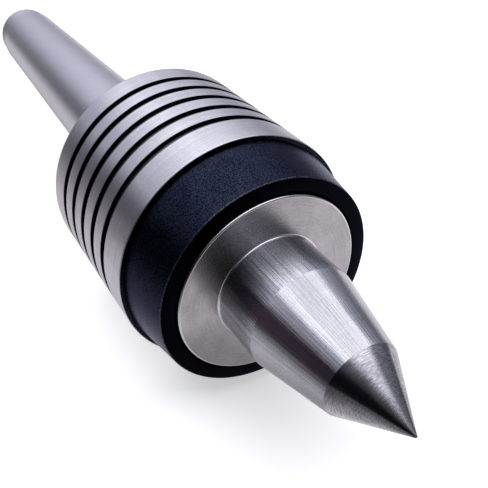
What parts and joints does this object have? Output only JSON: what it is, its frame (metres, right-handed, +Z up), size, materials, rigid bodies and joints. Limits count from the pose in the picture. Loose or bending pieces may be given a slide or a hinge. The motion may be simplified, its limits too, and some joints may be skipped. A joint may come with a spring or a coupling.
{
  "type": "live center",
  "caption": "Live center for a lathe tailstock: a pointed spindle that turns in a grooved steel bearing housing with an integral Morse taper shank and a black front cap.",
  "frame": {"origin": "on the turning axis, in the gauge plane of the Morse taper 1 shank, 3.5 mm behind the housing's rear face", "axes": "+X along the turning axis, from the shank towards the point; +Z up, at right angles to it; the part is round, so +Z is any direction across the axis"},
  "size_m": [0.1031, 0.026, 0.026],
  "materials": {
    "ground_steel": "satin, fine circumferential grinding marks",
    "black_oxide": "black oxide on turned steel, semi-gloss",
    "spindle_steel": "ground and turned, satin to bright",
    "bearing_steel": "fine ground",
    "ball_steel": "polished",
    "cage_brass": "machined",
    "shield_steel": "pressed sheet, satin",
    "seal_rubber": "matt",
    "spring_steel": "phosphated spring steel, dark grey"
  },
  "bodies": {
    "housing": {"body_shank": "ground_steel", "front_cap": "black_oxide", "front_bearing_outer_ring": "bearing_steel", "front_bearing_front_shield": "shield_steel", "front_bearing_rear_shield": "shield_steel", "thrust_bearing_housing_washer": "bearing_steel", "rear_bearing_outer_ring": "bearing_steel", "rear_bearing_front_shield": "shield_steel", "rear_bearing_rear_shield": "shield_steel", "preload_wave_washer": "spring_steel", "dust_seal": "seal_rubber"},
    "spindle_group": {"spindle": "spindle_steel", "front_bearing_inner_ring": "bearing_steel", "inner_spacer": "bearing_steel", "thrust_bearing_shaft_washer": "bearing_steel", "spacer_sleeve": "bearing_steel", "rear_bearing_inner_ring": "bearing_steel", "retaining_circlip": "spring_steel"},
    "front_cage_group": {"front_bearing_cage": "cage_brass", "front_bearing_ball_1": "ball_steel", "front_bearing_ball_2": "ball_steel", "front_bearing_ball_3": "ball_steel", "front_bearing_ball_4": "ball_steel", "front_bearing_ball_5": "ball_steel", "front_bearing_ball_6": "ball_steel", "front_bearing_ball_7": "ball_steel"},
    "rear_cage_group": {"rear_bearing_cage": "cage_brass", "rear_bearing_ball_1": "ball_steel", "rear_bearing_ball_2": "ball_steel", "rear_bearing_ball_3": "ball_steel", "rear_bearing_ball_4": "ball_steel", "rear_bearing_ball_5": "ball_steel", "rear_bearing_ball_6": "ball_steel", "rear_bearing_ball_7": "ball_steel"},
    "thrust_cage_group": {"thrust_bearing_cage": "cage_brass", "thrust_bearing_ball_1": "ball_steel", "thrust_bearing_ball_2": "ball_steel", "thrust_bearing_ball_3": "ball_steel", "thrust_bearing_ball_4": "ball_steel", "thrust_bearing_ball_5": "ball_steel", "thrust_bearing_ball_6": "ball_steel", "thrust_bearing_ball_7": "ball_steel", "thrust_bearing_ball_8": "ball_steel", "thrust_bearing_ball_9": "ball_steel"}
  },
  "joints": [
    {"name": "spindle_spin", "type": "hinge", "parent": "housing", "child": "spindle_group", "pos_m": [0.022, 0, 0], "axis": [1, 0, 0], "continuous": true},
    {"name": "front_cage_spin", "type": "hinge", "parent": "housing", "child": "front_cage_group", "pos_m": [0.022, 0, 0], "axis": [1, 0, 0], "continuous": true},
    {"name": "rear_cage_spin", "type": "hinge", "parent": "housing", "child": "rear_cage_group", "pos_m": [0.0085, 0, 0], "axis": [1, 0, 0], "continuous": true},
    {"name": "thrust_cage_spin", "type": "hinge", "parent": "housing", "child": "thrust_cage_group", "pos_m": [0.0156, 0, 0], "axis": [1, 0, 0], "continuous": true}
  ],
  "couplings": [
    {"joint": "front_cage_spin", "follows": "spindle_spin", "ratio": 0.3824},
    {"joint": "rear_cage_spin", "follows": "spindle_spin", "ratio": 0.3747},
    {"joint": "thrust_cage_spin", "follows": "spindle_spin", "ratio": 0.5}
  ]
}
